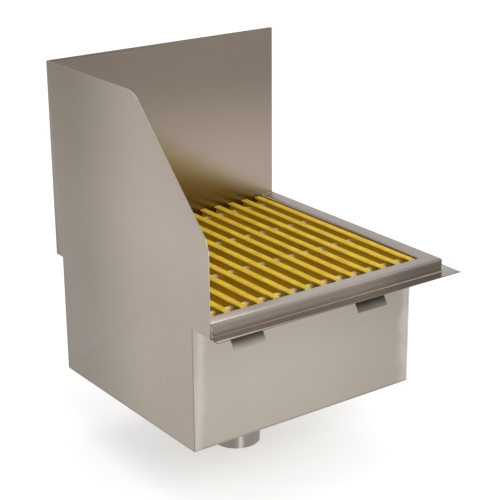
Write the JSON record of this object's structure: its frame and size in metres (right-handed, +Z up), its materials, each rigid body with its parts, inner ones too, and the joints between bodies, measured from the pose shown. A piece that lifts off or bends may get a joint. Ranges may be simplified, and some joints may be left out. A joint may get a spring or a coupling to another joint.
{
  "type": "mop service sink",
  "caption": "Built-in stainless mop service sink: deep basin with side splash, backsplash, raised rim, tiling flange, outlet tube and a lift-out fibreglass grating.",
  "frame": {"origin": "middle of the part's bounding box in X and Y, level with the outlet tube's lower end", "axes": "+X towards the open right-hand side, +Y towards the wall behind, +Z up; millimetres in the source, metres here"},
  "size_m": [0.6, 0.593, 0.819],
  "materials": {
    "side_steel": "satin, upright grain",
    "splash_steel": "satin, level grain",
    "panel_steel": "satin, upright grain",
    "deck_steel": "satin",
    "rim_steel": "satin, grain along the rim",
    "lug_steel": "mill",
    "bowl_steel": "mill",
    "outlet_steel": "drawn tube",
    "grate_grit": "moulded resin with a gritted top",
    "rod_resin": "smooth pultruded resin",
    "strainer_steel": "bright"
  },
  "bodies": {
    "basin": {"left_side_sheet": "side_steel", "backsplash": "splash_steel", "front_panel": "panel_steel", "right_panel": "panel_steel", "rear_panel": "panel_steel", "basin_floor": "bowl_steel", "drain_sump": "bowl_steel", "outlet_tube": "outlet_steel", "front_flange": "deck_steel", "right_flange": "deck_steel", "rear_ledge": "deck_steel", "rim_front": "rim_steel", "rim_right": "rim_steel", "front_lug_left": "lug_steel", "front_lug_right": "lug_steel", "side_lug_front": "lug_steel", "side_lug_rear": "lug_steel"},
    "grate": {"grate_bar_01": "grate_grit", "grate_bar_02": "grate_grit", "grate_bar_03": "grate_grit", "grate_bar_04": "grate_grit", "grate_bar_05": "grate_grit", "grate_bar_06": "grate_grit", "grate_bar_07": "grate_grit", "grate_bar_08": "grate_grit", "grate_bar_09": "grate_grit", "grate_bar_10": "grate_grit", "grate_bar_11": "grate_grit", "grate_bar_12": "grate_grit", "grate_bar_13": "grate_grit", "grate_bar_14": "grate_grit", "grate_rod_1": "rod_resin", "grate_rod_2": "rod_resin", "grate_rod_3": "rod_resin", "grate_rod_4": "rod_resin"},
    "strainer": {"waste_strainer": "strainer_steel", "strainer_knob": "strainer_steel"}
  },
  "joints": [
    {"name": "grate_lift", "type": "slide", "parent": "basin", "child": "grate", "axis": [0, 0, 1], "range_m": [0, 0.2]},
    {"name": "strainer_lift", "type": "slide", "parent": "basin", "child": "strainer", "axis": [0, 0, 1], "range_m": [0, 0.15]}
  ]
}
